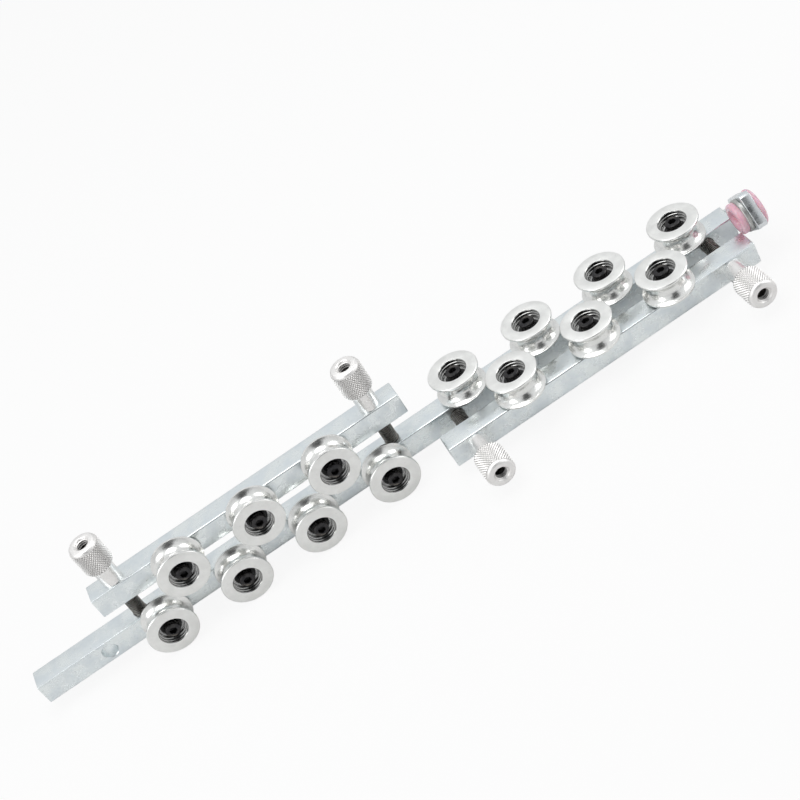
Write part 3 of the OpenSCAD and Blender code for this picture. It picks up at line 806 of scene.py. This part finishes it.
def plate(name, outline, thickness):
    """Sheet metal: the outline (x, y) is drawn point by point, filled, and drawn up along Z."""
    piece = first_point(name, *outline[0], 0)
    for (xa, ya), (xb, yb) in zip(outline, outline[1:]):
        draw_on(xb - xa, yb - ya, 0)
    bpy.ops.mesh.select_all(action="SELECT")
    bpy.ops.mesh.edge_face_add()
    bpy.ops.mesh.select_all(action="SELECT")
    draw_on(0, 0, thickness)
    close_up()
    return piece


def punch(name, radius, at=0.0):
    """A round tool through the bracket's thickness, at its place along the bracket."""
    tool = turned(name, [(0.0, -1.0), (radius, -1.0), (radius, BRACKET_T + 1), (0.0, BRACKET_T + 1)], 72 if at else 48)
    weld(tool)
    tool.data.transform(Matrix.Translation((at, 0, 0)))
    return tool


def make_bracket():
    """Flat bracket: a foot on the bar's end, an arm that slants out and two cut corners beyond the eyelet."""
    reach = math.hypot(EYE_Y, EYE_Z)
    w, corner, r = 7.8, 1.5, FOOT_R
    outline = arc(0, 0, r, 90, 270, 24) + [(2.0, -r), (5.0, -w), (reach + w - corner, -w), (reach + w, -w + corner),
                                           (reach + w, w - corner), (reach + w - corner, w), (5.0, w), (2.0, r)]
    sheet = plate("bracket_flat", outline, BRACKET_T)
    cut(sheet, punch("eye_hole", EYE_HOLE_R, reach * mm), punch("bolt_hole", FOOT_HOLE_R))
    soften(sheet, 0.3, 3, 30)
    foot = turned("foot", [(FOOT_HOLE_R, -FOOT_T), (r, -FOOT_T), (r, 0.0), (FOOT_HOLE_R, 0.0)], 64)
    piece = join("eyelet_holder", sheet, soften(foot, 0.15, 2, 50))
    way = Matrix.Rotation(math.pi / 2, 4, "Y")
    tilt = Matrix.Rotation(math.atan2(EYE_Z, EYE_Y), 4, "X") @ Matrix.Rotation(math.pi / 2, 4, "X")
    piece.data.transform(Matrix.Translation((BRACKET_X * mm, 0, 0)) @ tilt @ way)
    return smooth(piece, 30)


def make_bracket_screw():
    """Button-head screw in the bar's end, with its socket."""
    head = turned("bracket_head", [(0.0, 0.0), (3.7, 0.0), (3.8, 0.15), (3.8, 0.6), (3.62, 1.05), (3.3, 1.48),
                                   (2.8, 1.85), (2.2, 2.1), (1.7, 2.2), (0.0, 2.2)], 56)
    weld(head)
    cut(head, hex_tool(2.5, 0.9, 3.5))
    shank = turned("bracket_shank", [(0.0, -14.0), (1.5, -14.0), (SCREW_CREST, -13.5), (SCREW_CREST, 0.1),
                                     (0.0, 0.1)], 40)
    weld(shank)
    return smooth(join("bracket_screw_black", head, shank), 30)


# ------------------------------------------------------------------- assembly

roller = make_roller()
ring = make_ring()
seals = make_seals()
screw = make_cap_screw()
for part in (roller, ring, seals, screw):
    remember_place(part)
dress(roller, ROLLER_STEEL)
dress(ring, RING_STEEL)
dress(seals, RUBBER)
dress(screw, BLACK)

seen = set()
for stage, row, k, place in roller_places():
    spot = "%s_%s" % (stage, row)
    wheel = "%s_wheel_%d" % (spot, k)
    hand_over(copy_to(roller, "%s_spool_%d" % (spot, k), place), wheel, "roller", "%s_roller_%d" % (spot, k))
    hand_over(copy_to(ring, "%s_ring_%d" % (spot, k), place), wheel, "bearing_steel", "%s_bearing_%d" % (spot, k))
    hand_over(copy_to(seals, "%s_seal_%d" % (spot, k), place), wheel, "seal")
    # The first screw on each bar stands for the whole group of screws there.
    body, group = ("bar", "roller_screws_fixed") if row == "fixed" else (spot, "roller_screws_" + spot)
    piece = copy_to(screw, "%s_cap_screw_%d" % (spot, k), place)
    hand_over(piece, body, "black_fastener", *({group} - seen))
    seen.add(group)

stud = make_stud()
knob = make_knob()
for part in (stud, knob):
    remember_place(part)
dress(stud, STUD_BLACK)
dress(knob, KNOB_NICKEL)
for stage, where, x in (("exit", "tail", -1), ("exit", "mid", 1), ("entry", "mid", 1), ("entry", "nose", -1)):
    up = stage_frame(stage) @ Matrix.Translation((x * STUD_X * mm, 0, 0)) @ Matrix.Rotation(-math.pi / 2, 4, "X")
    piece = copy_to(stud, "%s_stud_%s" % (stage, where), up)
    hand_over(piece, "bar", "black_fastener", *({"adjusting_studs"} - seen))
    seen.add("adjusting_studs")
    name = "%s_knob_%s" % (stage, where)
    seat = up @ Matrix.Translation((0, 0, (ROWS + HALF) * mm))
    hand_over(copy_to(knob, name + "_knurled", seat), name, "knob", name)

for part in (roller, ring, seals, screw, stud, knob):
    bpy.data.objects.remove(part)

bar = dress(make_fixed_bar(), zinc_bar("zinc_fixed_bar", (0, 0, 0)))
hand_over(bar, "bar", "bar", "fixed_bar")
upper = dress(make_moving_bar("exit_moving_bar", "exit"), zinc_bar("zinc_exit_bar", (37, 0, ROWS)))
hand_over(upper, "exit_slide", "bar", "exit_slide_bar")
front = dress(make_moving_bar("entry_moving_bar", "entry"), zinc_bar("zinc_entry_bar", (81, -ROWS, 0)))
hand_over(front, "entry_slide", "bar", "entry_slide_bar")

for make, x, material, slot, node in ((make_bell, BELL_X, PINK, "ceramic", "eyelet_bell"),
                                      (make_flange, FLANGE_X, PINK, "ceramic", "eyelet_flange"),
                                      (make_collar, COLLAR_X, COLLAR_STEEL, "fitting", "eyelet_collar")):
    piece = make()
    remember_place(piece)
    piece.data.transform(eyelet_frame(x))
    hand_over(dress(piece, material), "bar", slot, node)
bracket = make_bracket()
remember_place(bracket)
hand_over(dress(bracket, FITTING_ZINC), "bar", "fitting", "eyelet_bracket")
holder = make_bracket_screw()
remember_place(holder)
holder.data.transform(Matrix.Translation((FLANGE_X * mm, 0, 0)) @ Matrix.Rotation(math.pi / 2, 4, "Y"))
hand_over(dress(holder, BLACK), "bar", "black_fastener", "bracket_screw")

for name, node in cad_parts.items():
    if name.startswith(("inner_rings", "balls")):
        dress(node, RING_STEEL)
    elif name.startswith("spacers"):
        dress(node, SPACER_STEEL)

# ------------------------------------------------------------ floor and light


def make_floor():
    put_down()
    bpy.ops.mesh.primitive_plane_add(size=8, location=(0.13, 0, FLOOR_Z * mm))
    floor = named("floor")
    m = bpy.data.materials.new("floor_white")
    m.use_nodes = True
    t = m.node_tree
    b = t.nodes["Principled BSDF"]
    b.inputs["Base Color"].default_value = (0.92, 0.92, 0.92, 1)
    b.inputs["Roughness"].default_value = 0.9
    rays = add(t, "LightPath").outputs
    mirrored = math_node(t, "MAXIMUM", rays["Is Glossy Ray"], rays["Is Transmission Ray"])
    mirrored = math_node(t, "MULTIPLY", mirrored, 0.06)
    seen = math_node(t, "MAXIMUM", math_node(t, "MULTIPLY", rays["Is Camera Ray"], 0.9), mirrored)
    glow = add(t, "Emission", [("Color", (1, 1, 1, 1)), ("Strength", 1.0)])
    mix = add(t, "MixShader", [(0, seen), (1, b.outputs[0]), (2, glow.outputs[0])])
    t.links.new(mix.outputs[0], t.nodes["Material Output"].inputs["Surface"])
    dress(floor, m)


def make_studio():
    """White tent with the dark camera and, under and over it, the open slit that it looks through. Mirrored rays see
    it as it is, its soft light on the pieces is weaker, and behind them it is plain white."""
    world = bpy.data.worlds.new("studio")
    bpy.context.scene.world = world
    world.use_nodes = True
    t = world.node_tree
    back = t.nodes["Background"]
    way = add(t, "TexCoord").outputs["Generated"]
    toward = [(0, way), (1, (-0.0201, -0.7804, 0.6249))]
    toward = add(t, "VectorMath", toward, operation="DOT_PRODUCT").outputs["Value"]
    lens = math_node(t, "MULTIPLY", between(t, toward, 0.91, 0.98), 0.85)
    p = add(t, "SeparateXYZ", [("Vector", way)])
    up = p.outputs["Z"]
    slit = between(t, math_node(t, "ABSOLUTE", p.outputs["X"]), 0.20, 0.30, 1.0, 0.0)
    slit = math_node(t, "MULTIPLY", slit, between(t, p.outputs["Y"], -0.35, -0.5))
    slit = math_node(t, "MULTIPLY", slit, between(t, up, 0.0, 0.08))
    dark = math_node(t, "MAXIMUM", lens, slit)
    sky = between(t, up, -0.1, 0.9, 0.72, 0.84)
    level = math_node(t, "MULTIPLY", sky, between(t, dark, 0.0, 1.0, 1.0, 0.10))
    rays = add(t, "LightPath").outputs
    shown = math_node(t, "MAXIMUM", rays["Is Glossy Ray"], rays["Is Transmission Ray"])
    level = math_node(t, "MULTIPLY", level, between(t, shown, 0.0, 1.0, 0.45, 1.0))
    t.links.new(math_node(t, "MAXIMUM", level, rays["Is Camera Ray"]), back.inputs["Strength"])
    back.inputs["Color"].default_value = (0.97, 0.985, 1.0, 1)


MIDDLE = (0.13, 0, 0)                  # what the lamps point at, in metres


def soft_light(name, at, size, power):
    put_down()
    bpy.ops.object.light_add(type="AREA", location=at)
    lamp = bpy.context.object
    lamp.name = name
    lamp.data.shape = "RECTANGLE"
    lamp.data.size, lamp.data.size_y = size
    lamp.data.energy = power
    lamp.rotation_euler = (Vector(MIDDLE) - Vector(at)).to_track_quat("-Z", "Y").to_euler()


def make_camera():
    data = bpy.data.cameras.new("view")
    camera = bpy.data.objects.new("view", data)
    bpy.context.scene.collection.objects.link(camera)
    data.sensor_width = 36.0
    data.lens = 78.22
    right = Vector((0.8272115, -0.3638622, -0.4278411))
    down = Vector((-0.5612833, -0.5082999, -0.6529297))
    ahead = Vector((0.0201048, 0.7804463, -0.6248967))
    turn = Matrix((right, -down, -ahead)).transposed().to_4x4()
    camera.matrix_world = Matrix.Translation((0.1367, -0.5329, 0.4455)) @ turn
    data.clip_start, data.clip_end = 0.01, 50
    bpy.context.scene.camera = camera


make_floor()
make_studio()
soft_light("top_box", (0.1, 0.05, 0.95), (0.8, 0.5), 3.7)
soft_light("left_box", (-0.8, -0.35, 0.55), (0.5, 0.6), 2.4)
soft_light("right_box", (1.1, -0.2, 0.5), (0.5, 0.6), 2.2)
make_camera()

view = bpy.context.scene.view_settings
view.view_transform = "Standard"
